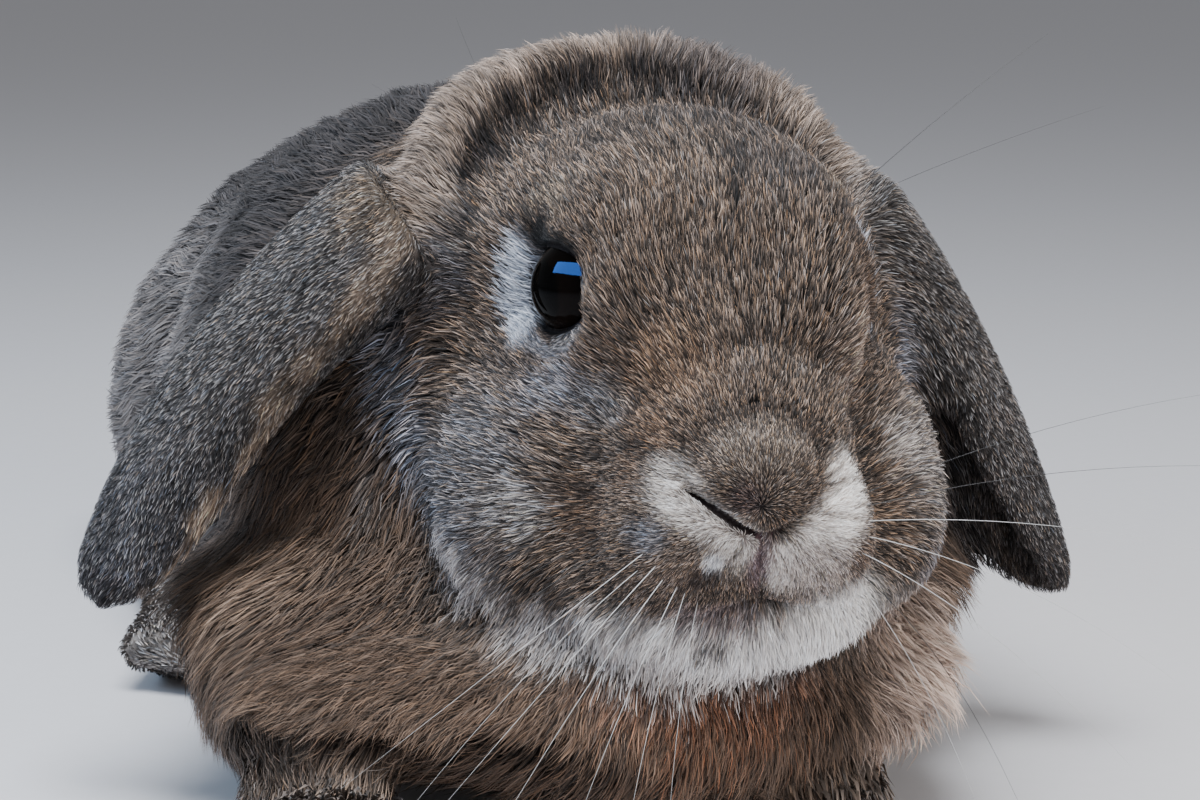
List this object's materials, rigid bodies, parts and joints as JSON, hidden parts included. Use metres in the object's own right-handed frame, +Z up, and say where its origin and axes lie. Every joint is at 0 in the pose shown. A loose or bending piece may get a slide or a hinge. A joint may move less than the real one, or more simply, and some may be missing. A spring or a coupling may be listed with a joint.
{
  "type": "rabbit",
  "caption": "Life-size lop-eared rabbit lying on its chest with its chin low, ears hanging and forepaws out, as a still museum-style model.",
  "frame": {"origin": "on the floor, at the bottom centre of the box round the whole animal", "axes": "+Z up, -Y towards the nose, +X towards the animal's left side"},
  "size_m": [0.177, 0.3362, 0.128],
  "materials": {
    "agouti_coat": "soft banded grey-brown fur",
    "tan_coat": "longer tan-brown fur of the chest and dewlap",
    "ear_coat": "short dark grizzled fur",
    "tail_coat": "soft pale-edged fur",
    "dark_eye": "wet, very dark brown"
  },
  "bodies": {
    "root": {"chest": "tan_coat", "ear_left": "ear_coat", "ear_right": "ear_coat", "eye_left": "dark_eye", "eye_right": "dark_eye", "forearm_left": "agouti_coat", "forearm_right": "agouti_coat", "forepaw_left": "agouti_coat", "forepaw_right": "agouti_coat", "head": "agouti_coat", "hind_foot_left": "agouti_coat", "hind_foot_right": "agouti_coat", "lower_jaw": "agouti_coat", "neck": "agouti_coat", "rump": "agouti_coat", "tail": "tail_coat", "thigh_left": "agouti_coat", "thigh_right": "agouti_coat", "trunk": "agouti_coat"}
  },
  "joints": []
}
